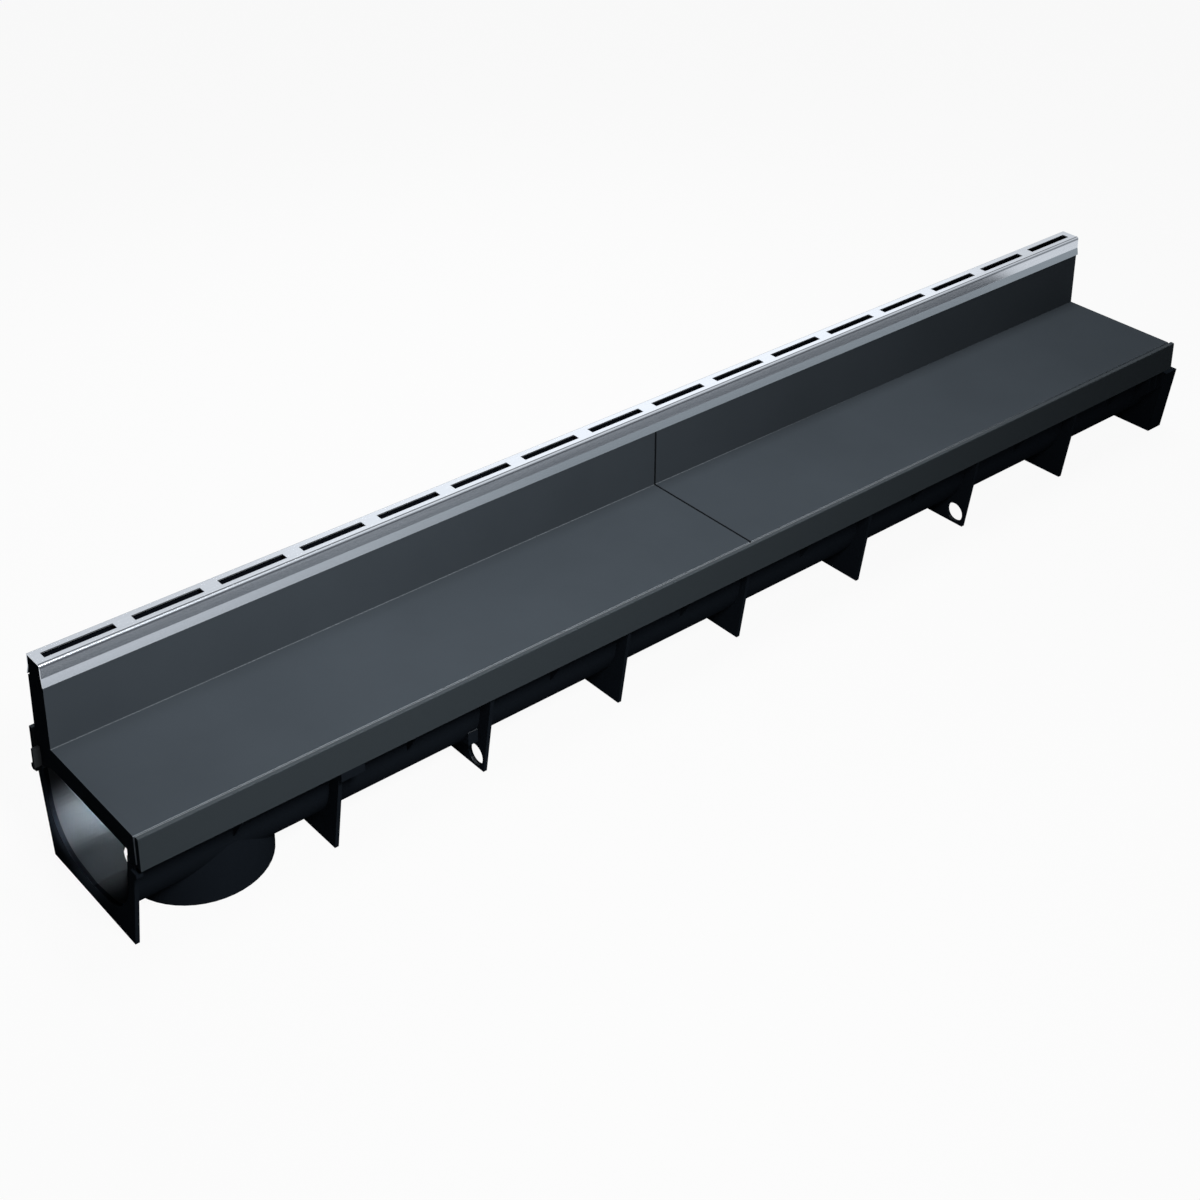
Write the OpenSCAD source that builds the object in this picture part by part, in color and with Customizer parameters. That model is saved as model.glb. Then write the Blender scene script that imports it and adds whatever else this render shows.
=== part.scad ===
/* [Channel] */
// Laid length of one unit, from its near end plate to the next unit's
unit_len = 1000; // [900:10:1200]
// Width over the side rims
body_w = 140; // [136:1:170]
// Height of the ledges that carry the covers
ledge_h = 70; // [66:1:90]
// Height of the rims and of the deck between them
deck_h = 91.2; // [89.2:0.5:110.2]
// Height over the slot cap
total_h = 153.5; // [145:0.5:190]

/* [Trough] */
// Clear width of the trough at the level of the ledges
trough_w = 109.4; // [100:0.2:112]
// Lean of the trough's side walls, per mm of height
trough_lean = 0.1; // [0.05:0.01:0.15]
// Inside radius where the walls turn into the floor
trough_corner_r = 36; // [28:1:40]
// Inside height of the crease along the middle of the floor
crease_h = 10.4; // [8:0.2:14]
// Rise of the floor from the crease to the walls, per mm of width
floor_slope = 0.12; // [0.08:0.01:0.16]
// Wall thickness of the trough
trough_wall = 2; // [1.5:0.1:3]

/* [Ribs] */
// Thickness of the end plate and of every rib
rib_t = 3; // [2:0.1:4]
// Half width of a rib where it stands on the ground
rib_foot = 57.1; // [56:0.1:60]
// Half width of a rib under the ledge
rib_head = 67.5; // [66:0.1:67.8]
// How much narrower the end plate and the middle rib are on each side
narrow_by = 4.4; // [3.5:0.1:5]
// Place of the first rib, past the outlet
first_rib_x = 141.7; // [140:0.5:150]
// Place of the middle rib, at which the channel can be sawn through
middle_rib_x = 502.4; // [495:0.2:510]
// Ribs between the first and the middle rib, counting the first
near_ribs = 3; // [2:1:4]
// Ribs between the middle rib and the far end
far_ribs = 3; // [2:1:4]
// Thickness of the gussets under the ledges
gusset_t = 2; // [1.5:0.1:3]
// Height of a gusset's foot on the trough wall
gusset_foot_h = 45.5; // [38:0.5:55]

/* [Ledges and rims] */
// Thickness of the ledges
ledge_t = 3; // [2.5:0.1:4]
// Thickness of the side rims
rim_t = 3.8; // [3:0.1:5]
// How far the rims stand back from the end plate
rim_setback = 0.8; // [0.5:0.1:2]
// How far the rims run past the laid length
rim_overrun = 0.6; // [0:0.1:1]
// Chamfer on the long edges of the rims
rim_chamfer = 0.5; // [0.3:0.1:0.8]
// Length of the lug under each rim, past the first rib
lug_len = 17.8; // [5:0.1:30]
// Depth of the lugs below the ledges
lug_drop = 6.3; // [3:0.1:10]

/* [Outlet] */
// Outside diameter of the outlet collar
outlet_d = 100.5; // [94:0.5:104]
// Wall thickness of the outlet collar
outlet_wall = 3.2; // [2.5:0.1:4]
// Diameter of the hole through the trough floor
outlet_hole_d = 91; // [60:1:92]
// Distance of the outlet from the near end
outlet_x = 71.5; // [65:0.1:75]
// Distance of the outlet from the middle of the width, towards the upstand
outlet_y = -2.9; // [-4:0.1:4]

/* [Ends and fixings] */
// Thickness of the wall that ends the trough at the far end
end_wall_t = 1.8; // [1.5:0.1:2.5]
// Thickness of the far flange past the slot for the next end plate
flange_t = 11.5; // [8:0.5:16]
// Height of the far flange's shoulders
flange_h = 60; // [55:1:60]
// Play around the next unit's end plate
joint_gap = 0.3; // [0.2:0.05:0.5]
// How far the hooks at the near end reach over the last unit's flange
hook_reach = 1.7; // [1:0.1:2.5]
// Diameter of the holes for anchoring rods
rod_hole_d = 16; // [8:0.5:16]
// Distance of the rod holes from the middle of the channel
rod_hole_y = 48.5; // [46:0.5:49]
// Height of the rod holes
rod_hole_h = 10; // [9.8:0.1:11]

/* [Covers] */
// Joint between the two covers
cover_joint = 0.6; // [0.4:0.1:2]
// How far the far cover stops short of the laid length
cover_setback = 2; // [1:0.1:3]
// Play between the covers and the rims
cover_gap = 0.4; // [0.3:0.1:1.5]
// Thickness of the deck
deck_t = 3; // [2.5:0.1:4]
// Thickness of the cover's other walls and ribs
cover_wall = 2.5; // [2:0.1:3]
// Height of the lower edges of the deck's ribs and end walls
rib_line_h = 75.5; // [74:0.5:80]
// Length of the tongue that laps into the cover before
tongue_len = 5.3; // [3:0.1:7]
// Height of the tongue
tongue_h = 14; // [8:0.2:18]

/* [Upstand] */
// Distance of the slot and its upstand from the middle of the channel
upstand_y = 48.5; // [46:0.1:49]
// Width of the upstand at its top
upstand_w = 20; // [19:0.1:20.5]
// Outward lean of the upstand's rear wall, from the top to the ledge
rear_lean = 1.3; // [0:0.1:1.5]

/* [Slot cap] */
// Thickness of the sheet metal
sheet_t = 1; // [0.8:0.1:1.5]
// Width over the top of the cap
cap_w = 18; // [17.4:0.1:19]
// Depth of the cap's flanges
cap_depth = 16.3; // [12:0.1:18]
// Distance from the cap's top down to the crease in its flanges
crease_depth = 9.9; // [8:0.1:11]
// Outside radius of the folds
fold_r = 1.6; // [1.5:0.1:2.5]
// How far the front flange kicks out below its crease
front_kick = 1.1; // [0.5:0.1:1.5]
// How far the rear flange kicks out below its crease
rear_kick = 2.4; // [1:0.1:3]
// Number of slots
slot_count = 16; // [12:2:18]
// Length of one slot
slot_len = 49.6; // [30:0.2:50]
// Width of one slot
slot_w = 6.2; // [5:0.1:7]
// Play between the cap's flanges and the neck inside it
cap_play = 0.3; // [0.2:0.05:0.5]

/* [Hidden] */
$fn = 96;
cut = 1;
plastic = "#33393f";
metal = "#b4bcc4";

ledge_y = body_w / 2;
ledge_under = ledge_h - ledge_t;
rib_lean = (rib_head - rib_foot) / ledge_under;
gusset_inset = 1;
fin_count = 3;
fin_pitch = 9.3;
fin_drop = 16;
fin_inset = 3;
boss_len = 8;
boss_y = 51.8;
boss_bottom = 22.5;
boss_top = 32.6;

slope_len = sqrt(1 + floor_slope * floor_slope);
slope_angle = atan(floor_slope);
lean_len = sqrt(1 + trough_lean * trough_lean);
lean_angle = atan(trough_lean);
arc_steps = 16;
arc_drop = crease_h + trough_corner_r * slope_len - ledge_h;
arc_y = (trough_w / 2 - trough_corner_r * lean_len + trough_lean * arc_drop)
    / (1 - trough_lean * floor_slope);
arc_z = crease_h + trough_corner_r * slope_len + floor_slope * arc_y;

root_draft = 0.4;
free_end = crease_h - trough_wall * slope_len - root_draft;

hook_h = 4;
hook_chamfer = 1.4;
hook_inset = 2;

frame_x = unit_len + rib_t + 2 * joint_gap;
far_x = frame_x + flange_t;
mid_x = (far_x - tongue_len) / 2;

near_pitch = (middle_rib_x - first_rib_x) / near_ribs;
far_pitch = (unit_len - end_wall_t - middle_rib_x) / (far_ribs + 1);
near_rib_xs = [for (i = [0 : near_ribs - 1]) first_rib_x + i * near_pitch];
far_rib_xs = [for (i = [1 : far_ribs]) middle_rib_x + i * far_pitch];
wall_xs = concat([0], near_rib_xs, [middle_rib_x], far_rib_xs, [unit_len - end_wall_t]);
rod_rib_xs = [near_rib_xs[1], far_rib_xs[1]];

cover_y = body_w / 2 - rim_t - cover_gap;
upstand_front = upstand_y - upstand_w / 2;
upstand_rear = upstand_y + upstand_w / 2;
rear_foot_y = upstand_rear + rear_lean;
tongue_y = rear_foot_y - 2 * (cover_wall + joint_gap);
foot_clear = 1;
deck_ribs = 2;
deck_rib_pitch = (upstand_front + cover_y) / (deck_ribs + 1);
shoulder_h = total_h - cap_depth - joint_gap;
neck_h = total_h - sheet_t;
neck_half = cap_w / 2 - sheet_t - cap_play;
slot_pitch = unit_len / slot_count;
slot_margin = (slot_pitch - slot_len) / 2;
crease_out = 0.2;
cover_half = unit_len / 2;
near_webs = [for (i = [1 : slot_count / 2 - 1]) i * slot_pitch];
far_webs = [for (i = [slot_count / 2 + 1 : slot_count - 1]) i * slot_pitch];

// Half width of the trough at a height, grown outwards by a wall
function wall_at(z, grow) = trough_w / 2 + grow * lean_len - trough_lean * (ledge_h - z);

// Places a profile drawn in Y and Z at x and runs it along X
module run(x, len) {
    translate([x, 0, 0]) rotate([90, 0, 90]) linear_extrude(len) children();
}

// Draws something and its mirror image across the middle of the channel
module both_sides() {
    children();
    mirror([0, 1, 0]) children();
}

// Moves the part from its near end to the middle of its length
module in_frame() {
    translate([-mid_x, 0, 0]) children();
}

// Section of the trough, grown outwards by a wall, up to a height
module trough_section(grow, top) {
    r = trough_corner_r + grow;
    first = slope_angle - 90;
    arc = [for (i = [0 : arc_steps])
        let (a = first - (first + lean_angle) * i / arc_steps)
            [arc_y + r * cos(a), arc_z + r * sin(a)]];
    other_arc = [for (i = [0 : arc_steps]) [-arc[arc_steps - i][0], arc[arc_steps - i][1]]];
    polygon(concat([[0, crease_h - grow * slope_len]], arc,
        [[wall_at(top, grow), top], [-wall_at(top, grow), top]], other_arc));
}

// Outline of a rib between two heights, narrower by a given amount on each side
module rib_outline(narrower, bottom, top) {
    foot = rib_foot - narrower + rib_lean * bottom;
    head = rib_foot - narrower + rib_lean * top;
    polygon([[-foot, bottom], [foot, bottom], [head, top], [-head, top]]);
}

// One rim with the ledge that it rises from
module rim_section() {
    inner_y = ledge_y - rim_t;
    polygon([
        [wall_at(ledge_under, trough_wall / 2), ledge_under],
        [ledge_y, ledge_under],
        [ledge_y, deck_h - rim_chamfer],
        [ledge_y - rim_chamfer, deck_h],
        [inner_y + rim_chamfer, deck_h],
        [inner_y, deck_h - rim_chamfer],
        [inner_y, ledge_h],
        [wall_at(ledge_h, trough_wall / 2), ledge_h]
    ]);
}

// Triangular gusset between the trough wall and the ledge
module gusset(x, foot_h, reach) {
    run(x - gusset_t / 2, gusset_t)
        polygon([[wall_at(foot_h, trough_wall / 2), foot_h],
            [wall_at(foot_h, trough_wall), foot_h], [reach, ledge_under],
            [wall_at(ledge_under, trough_wall / 2), ledge_under]]);
}

// Short stiffeners that brace the rim just before the far flange
module rim_stiffeners() {
    foot_h = ledge_under - 2 * fin_drop;
    fin_y = ledge_y - fin_inset;
    for (i = [1 : fin_count])
        run(unit_len - end_wall_t - (i - 1 / 2) * fin_pitch, gusset_t)
            polygon([[wall_at(foot_h, trough_wall / 2), foot_h],
                [wall_at(foot_h, trough_wall), foot_h], [fin_y, ledge_under - fin_drop],
                [fin_y, ledge_under], [wall_at(ledge_under, trough_wall / 2), ledge_under]]);
}

// Lug under the rim beside the first rib
module rim_lug() {
    translate([first_rib_x, ledge_y - rim_t, ledge_under - lug_drop])
        cube([lug_len, rim_t, lug_drop + ledge_t / 2]);
}

// Hook of the near end plate that lies on the shoulder of the last unit's flange
module end_hook() {
    foot = flange_h + joint_gap;
    inner_y = rib_foot - narrow_by + rib_lean * flange_h - cut;
    outer_y = ledge_y - hook_inset;
    run(-hook_reach, hook_reach + rib_t)
        polygon([[inner_y, foot + hook_h], [inner_y, foot + hook_chamfer],
            [ledge_y - rim_t, foot], [outer_y, foot + hook_chamfer],
            [outer_y, foot + hook_h]]);
}

// Boss on the near side of the second rib, beside the trough
module rib_boss() {
    translate([near_rib_xs[1] - boss_len, arc_y, boss_bottom])
        cube([boss_len + cut, boss_y - arc_y, boss_top - boss_bottom]);
}

// Round post on the outlet's axis
module outlet_post(d, bottom, top) {
    translate([outlet_x, outlet_y, bottom]) rotate([0, 0, 30]) cylinder(d = d, h = top - bottom);
}

// Collar with a straight free end for the pipe and a drafted root under the trough
module collar() {
    outlet_post(outlet_d, 0, free_end + cut);
    translate([outlet_x, outlet_y, free_end]) rotate([0, 0, 30])
        cylinder(d1 = outlet_d, d2 = outlet_d + 2 * root_draft, h = ledge_under - free_end);
}

// Space inside the collar, up to the underside of the trough
module collar_bore() {
    difference() {
        outlet_post(outlet_d - 2 * outlet_wall, -cut, ledge_under);
        run(-cut, unit_len + cut) trough_section(trough_wall, ledge_h);
    }
}

// Slot and opening into which the next unit's end plate and trough drop
module far_socket() {
    run(unit_len, frame_x - unit_len) rib_outline(narrow_by - joint_gap, -cut, ledge_h);
    run(unit_len, far_x - unit_len + cut) trough_section(trough_wall + joint_gap, ledge_h);
}

module channel_solid() {
    run(0, unit_len) trough_section(trough_wall, ledge_h);
    run(rim_setback, unit_len + rim_overrun - rim_setback) {
        rim_section();
        mirror([1, 0]) rim_section();
    }
    run(0, rib_t) rib_outline(narrow_by, 0, ledge_under);
    run(middle_rib_x, rib_t) rib_outline(narrow_by, 0, ledge_under);
    for (x = concat(near_rib_xs, far_rib_xs)) run(x, rib_t) rib_outline(0, 0, ledge_under);
    run(unit_len - end_wall_t, end_wall_t) rib_outline(narrow_by, 0, ledge_under);
    run(unit_len - end_wall_t, far_x - unit_len + end_wall_t) rib_outline(0, 0, flange_h);
    both_sides() {
        for (i = [0 : len(wall_xs) - 2])
            gusset((wall_xs[i] + wall_xs[i + 1] + rib_t) / 2, gusset_foot_h,
                ledge_y - gusset_inset);
        rim_stiffeners();
        rim_lug();
        end_hook();
        rib_boss();
    }
    collar();
}

module channel_body() {
    color(plastic)
    in_frame()
    difference() {
        channel_solid();
        run(-cut, unit_len + 2 * cut) trough_section(0, ledge_h + cut);
        collar_bore();
        outlet_post(outlet_hole_d, 0, ledge_h);
        far_socket();
        for (x = rod_rib_xs)
            both_sides()
                translate([x - cut, rod_hole_y, rod_hole_h]) rotate([0, 90, 0])
                    cylinder(d = rod_hole_d, h = rib_t + 2 * cut);
    }
}

// Section of the cover along its whole length
module cover_section() {
    polygon([[-cover_y, ledge_h], [-cover_y + cover_wall, ledge_h],
        [-cover_y + cover_wall, deck_h - deck_t], [upstand_front, deck_h - deck_t],
        [upstand_front, rib_line_h], [upstand_front + cover_wall, rib_line_h],
        [upstand_front + cover_wall, shoulder_h - cover_wall],
        [upstand_y - neck_half + cover_wall, shoulder_h - cover_wall],
        [upstand_y - neck_half + cover_wall, neck_h],
        [upstand_y - neck_half, neck_h],
        [upstand_y - neck_half, shoulder_h],
        [upstand_front, shoulder_h],
        [upstand_front, deck_h],
        [-cover_y + rim_chamfer, deck_h],
        [-cover_y, deck_h - rim_chamfer]]);
    polygon([[rear_foot_y - cover_wall, ledge_h], [cover_y, ledge_h],
        [cover_y, ledge_h + cover_wall], [rear_foot_y, ledge_h + cover_wall],
        [upstand_rear, shoulder_h],
        [upstand_y + neck_half, shoulder_h],
        [upstand_y + neck_half, neck_h],
        [upstand_y + neck_half - cover_wall, neck_h],
        [upstand_y + neck_half - cover_wall, shoulder_h - cover_wall],
        [upstand_rear - cover_wall, shoulder_h - cover_wall]]);
}

// Web across the upstand and the underside of the deck
module cross_web() {
    polygon([[-cover_y, rib_line_h], [rear_foot_y - cover_wall / 2, rib_line_h],
        [upstand_rear - cover_wall / 2, shoulder_h - cover_wall / 2],
        [upstand_y + neck_half - cover_wall / 2, shoulder_h - cover_wall / 2],
        [upstand_y + neck_half - cover_wall / 2, neck_h],
        [upstand_y - neck_half + cover_wall / 2, neck_h],
        [upstand_y - neck_half + cover_wall / 2, shoulder_h - cover_wall / 2],
        [upstand_front + cover_wall / 2, shoulder_h - cover_wall / 2],
        [upstand_front + cover_wall / 2, deck_h - deck_t / 2],
        [-cover_y + cover_wall / 2, deck_h - deck_t / 2]]);
}

// Feet of an end wall, which stand on the ledges beside the trough
module end_feet() {
    foot_y = trough_w / 2 + foot_clear;
    polygon([[-cover_y, ledge_h], [-foot_y, ledge_h],
        [-foot_y, rib_line_h + cut], [-cover_y, rib_line_h + cut]]);
    polygon([[foot_y, ledge_h], [rear_foot_y, ledge_h],
        [rear_foot_y - cover_wall, rib_line_h + cut], [upstand_front, rib_line_h + cut],
        [upstand_front, rib_line_h]]);
}

// One cover, from its near end to its far end
module cover(x, len, web_xs) {
    difference() {
        union() {
            run(x, len) cover_section();
            for (end_x = [x, x + len - cover_wall])
                run(end_x, cover_wall) {
                    cross_web();
                    end_feet();
                }
            for (web_x = web_xs) run(web_x - cover_wall / 2, cover_wall) cross_web();
            for (i = [1 : deck_ribs])
                translate([x, i * deck_rib_pitch - cover_y - cover_wall / 2, rib_line_h])
                    cube([len, cover_wall, deck_h - deck_t / 2 - rib_line_h]);
            translate([x - tongue_len, tongue_y, ledge_h])
                cube([tongue_len + cover_wall, cover_wall, tongue_h]);
        }
        translate([x + len - tongue_len, tongue_y - joint_gap, ledge_h - cut])
            cube([tongue_len + cut, cover_wall + 2 * joint_gap, tongue_h + cut + joint_gap]);
    }
}

module cover_near() {
    color(plastic) in_frame() cover(0, cover_half - cover_joint / 2, near_webs);
}

module cover_far() {
    color(plastic)
    in_frame()
        cover(cover_half + cover_joint / 2,
            cover_half - cover_joint / 2 - cover_setback, far_webs);
}

// Section of the folded cap, grown inwards by the sheet where inset is its thickness
module cap_shape(inset, foot_z) {
    half = cap_w / 2 - inset;
    top = total_h - inset;
    r = fold_r - inset;
    crease_z = total_h - crease_depth;
    crease_half = half + crease_out;
    kick = (crease_z - foot_z) / (cap_depth - crease_depth);
    difference() {
        polygon([[-crease_half - front_kick * kick, foot_z], [-crease_half, crease_z],
            [-half, top - r], [-half, top], [half, top], [half, top - r],
            [crease_half, crease_z], [crease_half + rear_kick * kick, foot_z]]);
        for (side = [0, 1]) mirror([side, 0]) difference() {
            translate([half - r, top - r]) square(r + cut);
            translate([half - r, top - r]) circle(r);
        }
    }
}

module slot_cap() {
    color(metal)
    in_frame()
    difference() {
        run(0, unit_len) translate([upstand_y, 0]) difference() {
            cap_shape(0, total_h - cap_depth);
            cap_shape(sheet_t, total_h - cap_depth - cut);
        }
        for (i = [0 : slot_count - 1])
            translate([slot_margin + i * slot_pitch, upstand_y - slot_w / 2, neck_h - cut])
                cube([slot_len, slot_w, sheet_t + 2 * cut]);
    }
}

channel_body();
cover_near();
cover_far();
slot_cap();
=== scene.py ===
import math

import bpy
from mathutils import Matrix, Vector


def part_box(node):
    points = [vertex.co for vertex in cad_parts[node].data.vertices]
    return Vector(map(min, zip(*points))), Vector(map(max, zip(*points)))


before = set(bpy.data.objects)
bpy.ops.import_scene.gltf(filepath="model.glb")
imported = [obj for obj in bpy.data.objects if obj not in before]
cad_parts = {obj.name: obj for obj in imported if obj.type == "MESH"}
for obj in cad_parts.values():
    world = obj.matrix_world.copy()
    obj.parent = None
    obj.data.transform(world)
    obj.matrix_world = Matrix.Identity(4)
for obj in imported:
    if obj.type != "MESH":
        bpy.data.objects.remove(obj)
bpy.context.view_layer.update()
scene = bpy.context.scene


# Channel body: one injection moulding in black polypropylene, dark grey on the rims and in the
# waterway. Below the rims and outside the waterway, round the trough, ribs and collar, it is
# painted near black: painted shade under the rim ledges.


# Moulded skin: the fine spark-eroded grain of the mould, with slow clouds of shade from the flow
# of the melt. The body and both covers share it, each with its own values.
def build_moulded_skin():
    group = bpy.data.node_groups.new("moulded_skin", "ShaderNodeTree")
    face = group.interface
    for name, kind, value in (
        ("Base", "NodeSocketColor", (0.05, 0.06, 0.07, 1)),
        ("Cloud Share", "NodeSocketFloat", 0.1),
        ("Grain Size", "NodeSocketFloat", 0.0006),
        ("Roughness", "NodeSocketFloat", 0.5),
        ("Roughness Swing", "NodeSocketFloat", 0.08),
    ):
        socket = face.new_socket(name, in_out="INPUT", socket_type=kind)
        socket.default_value = value
    for name, kind in (
        ("Colour", "NodeSocketColor"),
        ("Roughness", "NodeSocketFloat"),
        ("Height", "NodeSocketFloat"),
    ):
        face.new_socket(name, in_out="OUTPUT", socket_type=kind)
    nodes, links = group.nodes, group.links
    given = nodes.new("NodeGroupInput")
    out = nodes.new("NodeGroupOutput")
    place = nodes.new("ShaderNodeTexCoord")

    clouds = nodes.new("ShaderNodeTexNoise")
    clouds.inputs["Scale"].default_value = 9
    clouds.inputs["Detail"].default_value = 4
    clouds.inputs["Roughness"].default_value = 0.55
    links.new(place.outputs["Object"], clouds.inputs["Vector"])
    limits = []
    for operation in ("SUBTRACT", "ADD"):
        limit = nodes.new("ShaderNodeMath")
        limit.operation = operation
        limit.inputs[0].default_value = 1
        links.new(given.outputs["Cloud Share"], limit.inputs[1])
        limits.append(limit.outputs[0])
    shade = nodes.new("ShaderNodeMapRange")
    shade.inputs["From Min"].default_value = 0.3
    shade.inputs["From Max"].default_value = 0.7
    links.new(clouds.outputs["Fac"], shade.inputs["Value"])
    links.new(limits[0], shade.inputs["To Min"])
    links.new(limits[1], shade.inputs["To Max"])
    tint = nodes.new("ShaderNodeVectorMath")
    tint.operation = "SCALE"
    links.new(given.outputs["Base"], tint.inputs[0])
    links.new(shade.outputs["Result"], tint.inputs["Scale"])
    links.new(tint.outputs[0], out.inputs["Colour"])

    per_metre = nodes.new("ShaderNodeMath")
    per_metre.operation = "DIVIDE"
    per_metre.inputs[0].default_value = 1
    links.new(given.outputs["Grain Size"], per_metre.inputs[1])
    grain = nodes.new("ShaderNodeTexNoise")
    grain.inputs["Detail"].default_value = 2
    links.new(place.outputs["Object"], grain.inputs["Vector"])
    links.new(per_metre.outputs[0], grain.inputs["Scale"])
    links.new(grain.outputs["Fac"], out.inputs["Height"])

    swing = nodes.new("ShaderNodeMath")
    swing.operation = "MULTIPLY_ADD"
    links.new(clouds.outputs["Fac"], swing.inputs[0])
    links.new(given.outputs["Roughness Swing"], swing.inputs[1])
    links.new(given.outputs["Roughness"], swing.inputs[2])
    links.new(swing.outputs[0], out.inputs["Roughness"])
    return group


moulded_skin = build_moulded_skin()


def plastic_material(name, base, cloud_share, grain_size, grain_depth, roughness):
    material = bpy.data.materials.new(name)
    material.use_nodes = True
    nodes, links = material.node_tree.nodes, material.node_tree.links
    shader = nodes["Principled BSDF"]
    skin = nodes.new("ShaderNodeGroup")
    skin.node_tree = moulded_skin
    skin.inputs["Base"].default_value = (*base, 1)
    skin.inputs["Cloud Share"].default_value = cloud_share
    skin.inputs["Grain Size"].default_value = grain_size
    skin.inputs["Roughness"].default_value = roughness
    bump = nodes.new("ShaderNodeBump")
    bump.inputs["Strength"].default_value = 0.35
    bump.inputs["Distance"].default_value = grain_depth
    links.new(skin.outputs["Height"], bump.inputs["Height"])
    links.new(skin.outputs["Colour"], shader.inputs["Base Color"])
    links.new(skin.outputs["Roughness"], shader.inputs["Roughness"])
    links.new(bump.outputs["Normal"], shader.inputs["Normal"])
    shader.inputs["Specular IOR Level"].default_value = 0
    return material


# Near black, darker than the plastic itself: painted shade, laid on the body under the rims and
# on the faces turned to the near end.
shade_black = (0.006, 0.008, 0.011)
body_plastic = plastic_material(
    "body_plastic",
    base=shade_black,
    cloud_share=0.08,
    grain_size=0.0009,
    grain_depth=0.00008,
    roughness=0.5,
)


# Zones: a colour laid over the ones before it, where a mask of place or slope says so. Some
# are the plastic's own tones, and some are painted light and painted shade.
def lay_over(material, mask, colour):
    nodes, links = material.node_tree.nodes, material.node_tree.links
    surface = nodes["Principled BSDF"].inputs["Base Color"]
    under = surface.links[0].from_socket
    blend = nodes.new("ShaderNodeMix")
    blend.data_type = "RGBA"
    factor, colour_a, colour_b, colour_out = 0, 6, 7, 2
    links.new(mask, blend.inputs[factor])
    links.new(under, blend.inputs[colour_a])
    blend.inputs[colour_b].default_value = (*colour, 1)
    links.new(blend.outputs[colour_out], surface)


def position_along(material, axis):
    nodes, links = material.node_tree.nodes, material.node_tree.links
    place = nodes.new("ShaderNodeTexCoord")
    parts = nodes.new("ShaderNodeSeparateXYZ")
    links.new(place.outputs["Object"], parts.inputs[0])
    return parts.outputs[axis]


def rise(material, value, start, end):
    nodes, links = material.node_tree.nodes, material.node_tree.links
    step = nodes.new("ShaderNodeMapRange")
    step.inputs["From Min"].default_value = start
    step.inputs["From Max"].default_value = end
    links.new(value, step.inputs["Value"])
    return step.outputs["Result"]


def band(material, axis, start, end):
    return rise(material, position_along(material, axis), start, end)


def both(material, first, second):
    nodes, links = material.node_tree.nodes, material.node_tree.links
    product = nodes.new("ShaderNodeMath")
    product.operation = "MULTIPLY"
    links.new(first, product.inputs[0])
    links.new(second, product.inputs[1])
    return product.outputs[0]


# Mask of the faces turned to the near end (-X), where painted shade is laid in black.
def shaded_end_faces(material):
    leaning, square = -0.8, -0.95
    nodes, links = material.node_tree.nodes, material.node_tree.links
    geometry = nodes.new("ShaderNodeNewGeometry")
    parts = nodes.new("ShaderNodeSeparateXYZ")
    links.new(geometry.outputs["Normal"], parts.inputs[0])
    return rise(material, parts.outputs["X"], leaning, square)


def facing_middle(material, middle_z):
    just_inside, well_inside = -0.004, -0.012
    nodes, links = material.node_tree.nodes, material.node_tree.links
    geometry = nodes.new("ShaderNodeNewGeometry")
    from_middle = nodes.new("ShaderNodeVectorMath")
    from_middle.operation = "SUBTRACT"
    from_middle.inputs[1].default_value = (0, 0, middle_z)
    links.new(geometry.outputs["Position"], from_middle.inputs[0])
    flattened = nodes.new("ShaderNodeVectorMath")
    flattened.operation = "MULTIPLY"
    flattened.inputs[1].default_value = (0, 1, 1)
    links.new(from_middle.outputs[0], flattened.inputs[0])
    outward = nodes.new("ShaderNodeVectorMath")
    outward.operation = "DOT_PRODUCT"
    links.new(flattened.outputs[0], outward.inputs[0])
    links.new(geometry.outputs["Normal"], outward.inputs[1])
    return rise(material, outward.outputs["Value"], just_inside, well_inside)


trough_middle_z = 0.055
end_plate_back = -0.5019
rim_foot = 0.067
rim_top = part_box("channel_body")[1][2]
zone_edge = 0.0001
waterway_grey = (0.031, 0.0345, 0.039)
rim_grey = (0.027, 0.0335, 0.0385)
rim_top_light_grey = (0.046, 0.054, 0.061)
waterway = both(
    body_plastic,
    facing_middle(body_plastic, trough_middle_z),
    band(body_plastic, "X", end_plate_back, end_plate_back + 2 * zone_edge),
)
rim_sides = band(body_plastic, "Z", rim_foot - zone_edge, rim_foot + 2 * zone_edge)
# Painted light: the rim's top face is painted paler than its sides, as lit from above.
rim_top_light = band(body_plastic, "Z", rim_top - 4 * zone_edge, rim_top - zone_edge)
lay_over(body_plastic, waterway, waterway_grey)
lay_over(body_plastic, rim_sides, rim_grey)
lay_over(body_plastic, rim_top_light, rim_top_light_grey)
# Painted shade: the body's faces turned to the near end are painted black.
lay_over(body_plastic, shaded_end_faces(body_plastic), shade_black)
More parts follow.
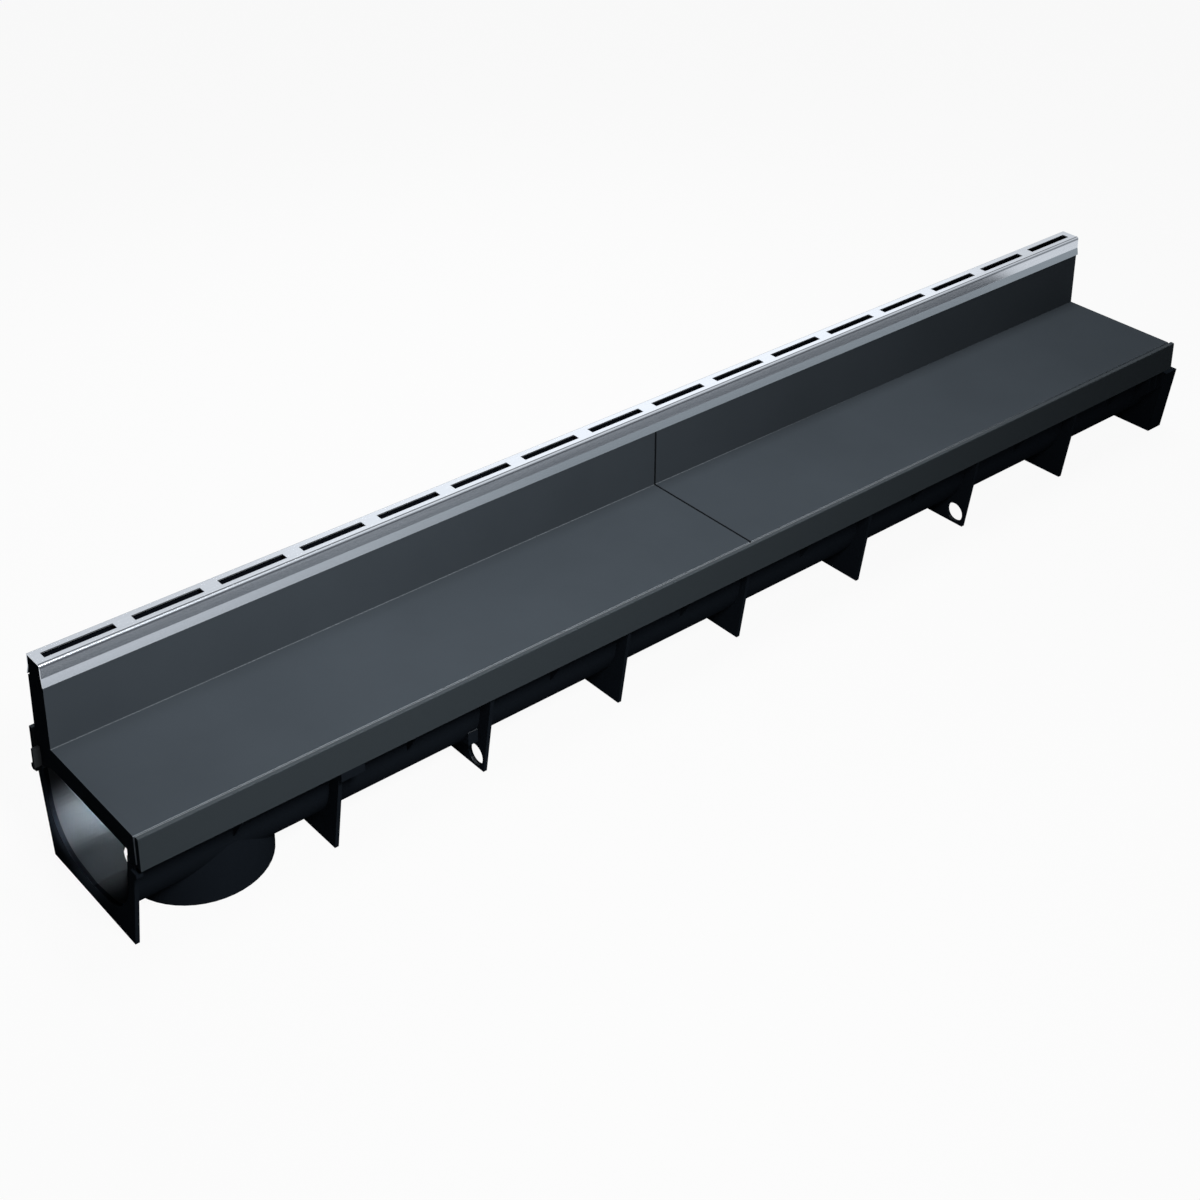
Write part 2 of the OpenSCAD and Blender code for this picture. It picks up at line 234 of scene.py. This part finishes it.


# Painted light line: a narrow band along the channel where a painted highlight lies on an edge,
# and on the cap a dark line of painted shade along a bend. It is placed by its height and its
# distance from the middle, and fades both ways.
def build_painted_light_line():
    group = bpy.data.node_groups.new("painted_light_line", "ShaderNodeTree")
    for name, value in (("Line Y", 0.0), ("Line Z", 0.0), ("Half Width", 0.001)):
        socket = group.interface.new_socket(name, in_out="INPUT", socket_type="NodeSocketFloat")
        socket.default_value = value
    group.interface.new_socket("Mask", in_out="OUTPUT", socket_type="NodeSocketFloat")
    nodes, links = group.nodes, group.links
    given = nodes.new("NodeGroupInput")
    out = nodes.new("NodeGroupOutput")
    place = nodes.new("ShaderNodeTexCoord")
    across = nodes.new("ShaderNodeSeparateXYZ")
    links.new(place.outputs["Object"], across.inputs[0])
    line = nodes.new("ShaderNodeCombineXYZ")
    links.new(given.outputs["Line Y"], line.inputs["Y"])
    links.new(given.outputs["Line Z"], line.inputs["Z"])
    flat = nodes.new("ShaderNodeCombineXYZ")
    links.new(across.outputs["Y"], flat.inputs["Y"])
    links.new(across.outputs["Z"], flat.inputs["Z"])
    reach = nodes.new("ShaderNodeVectorMath")
    reach.operation = "DISTANCE"
    links.new(line.outputs[0], reach.inputs[0])
    links.new(flat.outputs[0], reach.inputs[1])
    fade = nodes.new("ShaderNodeMapRange")
    fade.interpolation_type = "SMOOTHSTEP"
    fade.inputs["To Min"].default_value = 1
    fade.inputs["To Max"].default_value = 0
    links.new(reach.outputs["Value"], fade.inputs["Value"])
    links.new(given.outputs["Half Width"], fade.inputs["From Max"])
    links.new(fade.outputs["Result"], out.inputs["Mask"])
    return group


painted_light_line = build_painted_light_line()


# Lays one painted line: a highlight, and on the cap a dark line of shade. Given an end point,
# the line stays full up to it and fades out over fade_length beyond it, as the glint fades.
def paint_light_along(material, line_y, line_z, half_width, colour, glints_to=None):
    fade_length = 0.2
    line = material.node_tree.nodes.new("ShaderNodeGroup")
    line.node_tree = painted_light_line
    line.inputs["Line Y"].default_value = line_y
    line.inputs["Line Z"].default_value = line_z
    line.inputs["Half Width"].default_value = half_width
    mask = line.outputs["Mask"]
    if glints_to is not None:
        mask = both(material, mask, band(material, "X", glints_to + fade_length, glints_to))
    lay_over(material, mask, colour)


rim_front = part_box("channel_body")[0][1]
rim_width = 0.0038
rim_inner_edge = rim_front + rim_width - 3 * zone_edge
# Painted highlight: a pale line along the rim's inner top edge, the glint of light on it, fading
# out past the near part of the channel.
paint_light_along(
    body_plastic, rim_inner_edge, rim_top, half_width=0.0008, colour=(0.30, 0.32, 0.34),
    glints_to=0.15,
)


def dress(node, material):
    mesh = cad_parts[node].data
    mesh.materials.clear()
    mesh.materials.append(material)


dress("channel_body", body_plastic)


# Covers: the two deck-and-upstand mouldings, in the same plastic with a slightly paler, finer
# grain on top. They lie on the ledges between the rims, with their decks level with the rims.
cover_plastic = plastic_material(
    "cover_plastic",
    base=(0.041, 0.0495, 0.0585),
    cloud_share=0.06,
    grain_size=0.0007,
    grain_depth=0.00006,
    roughness=0.52,
)
deck_top = rim_top
upstand_foot = 0.0385
tongue_tip, cover_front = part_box("cover_near")[0][:2]
deck_edge = cover_front + zone_edge
# Painted highlights: pale lines at the foot of the upstand and on the deck's front edge, glints
# of light along them, fading out along the channel.
paint_light_along(
    cover_plastic, upstand_foot, deck_top, half_width=0.0008, colour=(0.12, 0.135, 0.15),
    glints_to=0.05,
)
paint_light_along(
    cover_plastic, deck_edge, deck_top, half_width=0.0006, colour=(0.20, 0.22, 0.24),
    glints_to=0.15,
)


def near_value(material, axis, middle, reach):
    close = material.node_tree.nodes.new("ShaderNodeMath")
    close.operation = "COMPARE"
    close.inputs[1].default_value = middle
    close.inputs[2].default_value = reach
    material.node_tree.links.new(position_along(material, axis), close.inputs[0])
    return close.outputs[0]


joint_gap = 0.0003
joint_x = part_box("cover_near")[1][0] + joint_gap
joint_reach = 0.0009
joint_grey = (0.012, 0.014, 0.016)
lay_over(cover_plastic, near_value(cover_plastic, "X", joint_x, joint_reach), joint_grey)
# Painted shade: inside the upstand, round the slot shafts under the cap, the cover is painted
# near black.
shaft_y = 0.0485
shaft_reach = 0.0079
shaft_shade_black = (0.003, 0.004, 0.006)
lay_over(cover_plastic, near_value(cover_plastic, "Y", shaft_y, shaft_reach), shaft_shade_black)
# Painted shade: the covers' faces turned to the near end, past the tongue tip, are painted
# black.
tip_end = tongue_tip + 0.0005
past_tip = band(cover_plastic, "X", tip_end, tip_end + 2 * zone_edge)
cover_ends_in_shade = both(cover_plastic, shaded_end_faces(cover_plastic), past_tip)
lay_over(cover_plastic, cover_ends_in_shade, shade_black)
# Painted shade: the tongue that reaches out past the near end is painted darker.
tongue_root = -0.5050
tongue_shade_grey = (0.019, 0.021, 0.023)
tongue_in_shade = band(cover_plastic, "X", tongue_root, tongue_root - 2 * zone_edge)
lay_over(cover_plastic, tongue_in_shade, tongue_shade_grey)
dress("cover_near", cover_plastic)
dress("cover_far", cover_plastic)


# Slot cap: one strip of thin sheet, punched and then folded over the upstands. Rolling leaves a
# fine grain along its length. Its kicked-out lower edges are painted darker as painted shade,
# fading in toward the middle and darkest on to the far end.
cap_steel = bpy.data.materials.new("cap_steel")
cap_steel.use_nodes = True
cap_nodes, cap_links = cap_steel.node_tree.nodes, cap_steel.node_tree.links
cap_shader = cap_nodes["Principled BSDF"]
cap_place = cap_nodes.new("ShaderNodeTexCoord")
cap_stretch = cap_nodes.new("ShaderNodeMapping")
cap_stretch.inputs["Scale"].default_value = (12, 900, 900)
cap_links.new(cap_place.outputs["Object"], cap_stretch.inputs["Vector"])
cap_grain = cap_nodes.new("ShaderNodeTexNoise")
cap_grain.inputs["Scale"].default_value = 1
cap_grain.inputs["Detail"].default_value = 2
cap_links.new(cap_stretch.outputs["Vector"], cap_grain.inputs["Vector"])
cap_tone = cap_nodes.new("ShaderNodeValToRGB")
cap_darker, cap_lighter = cap_tone.color_ramp.elements
cap_darker.position = 0.3
cap_darker.color = (0.60, 0.645, 0.71, 1)
cap_lighter.position = 0.7
cap_lighter.color = (0.65, 0.695, 0.76, 1)
cap_links.new(cap_grain.outputs["Fac"], cap_tone.inputs["Fac"])
cap_links.new(cap_tone.outputs["Color"], cap_shader.inputs["Base Color"])
cap_rough = cap_nodes.new("ShaderNodeMapRange")
cap_rough.inputs["To Min"].default_value = 0.21
cap_rough.inputs["To Max"].default_value = 0.27
cap_links.new(cap_grain.outputs["Fac"], cap_rough.inputs["Value"])
cap_links.new(cap_rough.outputs["Result"], cap_shader.inputs["Roughness"])
cap_bump = cap_nodes.new("ShaderNodeBump")
cap_bump.inputs["Strength"].default_value = 0.04
cap_bump.inputs["Distance"].default_value = 0.00002
cap_links.new(cap_grain.outputs["Fac"], cap_bump.inputs["Height"])
cap_links.new(cap_bump.outputs["Normal"], cap_shader.inputs["Normal"])
cap_shader.inputs["Metallic"].default_value = 0.9

cap_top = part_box("slot_cap")[1][2]
cap_front = 0.0395
cap_rear = 0.0575
fold_r = 0.0016
kick_drop = 0.0099
crease_z = cap_top - kick_drop
# Painted shade: the kicked-out lower band is painted darker, and darker still from the middle
# on.
kicked_edge = band(cap_steel, "Z", crease_z + zone_edge, crease_z - zone_edge)
kicked_edge_shade_grey = (0.51, 0.555, 0.615)
lay_over(cap_steel, kicked_edge, kicked_edge_shade_grey)
shade_start, shade_full = -0.46, -0.1
lower_band_shade_grey = (0.25, 0.29, 0.33)
lower_band_shade = both(cap_steel, kicked_edge, band(cap_steel, "X", shade_start, shade_full))
lay_over(cap_steel, lower_band_shade, lower_band_shade_grey)
fold_lower, fold_upper, rear_fold = cap_top - fold_r, cap_front + fold_r, cap_rear - fold_r / 2
# Painted shade: dark lines along the cap's folds, below and behind the front fold and on the
# rear fold, which narrow and break up its glints.
paint_light_along(cap_steel, cap_front, fold_lower, half_width=0.0015, colour=(0.16, 0.18, 0.21))
paint_light_along(cap_steel, fold_upper, cap_top, half_width=0.0009, colour=(0.03, 0.035, 0.045))
paint_light_along(cap_steel, rear_fold, cap_top, half_width=0.0009, colour=(0.22, 0.24, 0.27))
dress("slot_cap", cap_steel)


# Floor: a wide pale sheet that the ribs stand on. It shows white, with the unit's soft shadow.
# Lamps find it grey, so that it throws little light back up.
def pale_when_seen(nodes, links, seen_share, plain, shown):
    path = nodes.new("ShaderNodeLightPath")
    seen = path.outputs["Is Camera Ray"]
    for ray in ("Is Glossy Ray", "Is Transmission Ray"):
        either = nodes.new("ShaderNodeMath")
        either.operation = "MAXIMUM"
        links.new(seen, either.inputs[0])
        links.new(path.outputs[ray], either.inputs[1])
        seen = either.outputs[0]
    share = nodes.new("ShaderNodeMath")
    share.operation = "MULTIPLY"
    share.inputs[1].default_value = seen_share
    links.new(seen, share.inputs[0])
    mix = nodes.new("ShaderNodeMixShader")
    links.new(share.outputs[0], mix.inputs["Fac"])
    links.new(plain, mix.inputs[1])
    links.new(shown, mix.inputs[2])
    return mix.outputs[0]


floor_size = 12
floor_white_share = 0.94
bpy.ops.mesh.primitive_plane_add(size=floor_size, location=(0, 0, 0))
floor = bpy.context.object
floor.name = "floor"
floor_paint = bpy.data.materials.new("floor_paint")
floor_paint.use_nodes = True
floor_nodes, floor_links = floor_paint.node_tree.nodes, floor_paint.node_tree.links
floor_nodes.remove(floor_nodes["Principled BSDF"])
floor_plain = floor_nodes.new("ShaderNodeBsdfDiffuse")
floor_plain.inputs["Color"].default_value = (0.35, 0.35, 0.35, 1)
floor_shown = floor_nodes.new("ShaderNodeEmission")
floor_shown.inputs["Strength"].default_value = 1
floor_surface = pale_when_seen(
    floor_nodes, floor_links, floor_white_share, floor_plain.outputs[0], floor_shown.outputs[0]
)
floor_links.new(floor_surface, floor_nodes["Material Output"].inputs["Surface"])
floor.data.materials.append(floor_paint)


# Studio: a white room seen by the camera and by reflections, with a dim even fill. Soft lamps
# stand in front, overhead and behind, the last two out of the cap's mirror image. One gives the
# cap its sheen, and two narrow beams reach into the mouth of the channel.
world = bpy.data.worlds.new("studio")
scene.world = world
world.use_nodes = True
world_nodes, world_links = world.node_tree.nodes, world.node_tree.links
world_fill = world_nodes["Background"]
world_fill.inputs["Color"].default_value = (0.9, 0.95, 1, 1)
world_fill.inputs["Strength"].default_value = 0.02
world_white = world_nodes.new("ShaderNodeBackground")
world_white.inputs["Strength"].default_value = 1
world_surface = pale_when_seen(
    world_nodes, world_links, 1, world_fill.outputs[0], world_white.outputs[0]
)
world_links.new(world_surface, world_nodes["World Output"].inputs["Surface"])


def lamp(name, place, aim, size, watts, beam, mirrored=True):
    light = bpy.data.lights.new(name, "AREA")
    light.shape = "RECTANGLE"
    light.size, light.size_y = size
    light.energy = watts
    light.spread = math.radians(beam)
    holder = bpy.data.objects.new(name, light)
    holder.location = place
    holder.rotation_euler = (Vector(aim) - Vector(place)).to_track_quat("-Z", "Y").to_euler()
    holder.visible_glossy = mirrored
    scene.collection.objects.link(holder)


lamp(
    "front_lamp",
    place=(-0.4, -0.85, 1.05), aim=(-0.35, 0, 0.1), size=(0.3, 0.3), watts=4.3, beam=80,
)
lamp(
    "top_lamp",
    place=(0.45, 0, 1.9), aim=(0.2, 0, 0.1), size=(0.9, 0.4), watts=6, beam=80,
    mirrored=False,
)
lamp(
    "back_lamp",
    place=(0.15, 1.15, 0.6), aim=(0, 0.06, 0.07), size=(0.9, 0.4), watts=4, beam=90,
    mirrored=False,
)
lamp(
    "sheen_lamp",
    place=(0.9, 1.15, 0.85), aim=(0.05, 0.06, 0.1), size=(1.1, 0.5), watts=0.27, beam=90,
)
lamp(
    "mouth_lamp",
    place=(-0.85, -0.22, 0.2), aim=(-0.476, 0.048, 0.026), size=(0.02, 0.02),
    watts=0.0285, beam=4.5,
)
lamp(
    "mouth_floor_lamp",
    place=(-0.8, -0.1, 0.25), aim=(-0.478, 0.014, 0.014), size=(0.02, 0.02),
    watts=0.009, beam=8,
)


# Camera: high on the near left of the outlet end, looking along the channel, with the lens
# shifted so that the whole unit sits in the frame.
camera_data = bpy.data.cameras.new("camera")
camera = bpy.data.objects.new("camera", camera_data)
scene.collection.objects.link(camera)
camera.location = (-0.92336, -0.97875, 0.90986)
camera_aim = Vector((0.57926, 0.70050, -0.41684))
camera.rotation_euler = camera_aim.to_track_quat("-Z", "Y").to_euler()
camera_data.sensor_width = 36
camera_data.lens = 62.752
camera_data.shift_x = 0.01977
camera_data.shift_y = -0.28689
camera_data.clip_start = 0.05
scene.camera = camera

scene.view_settings.view_transform = "Standard"
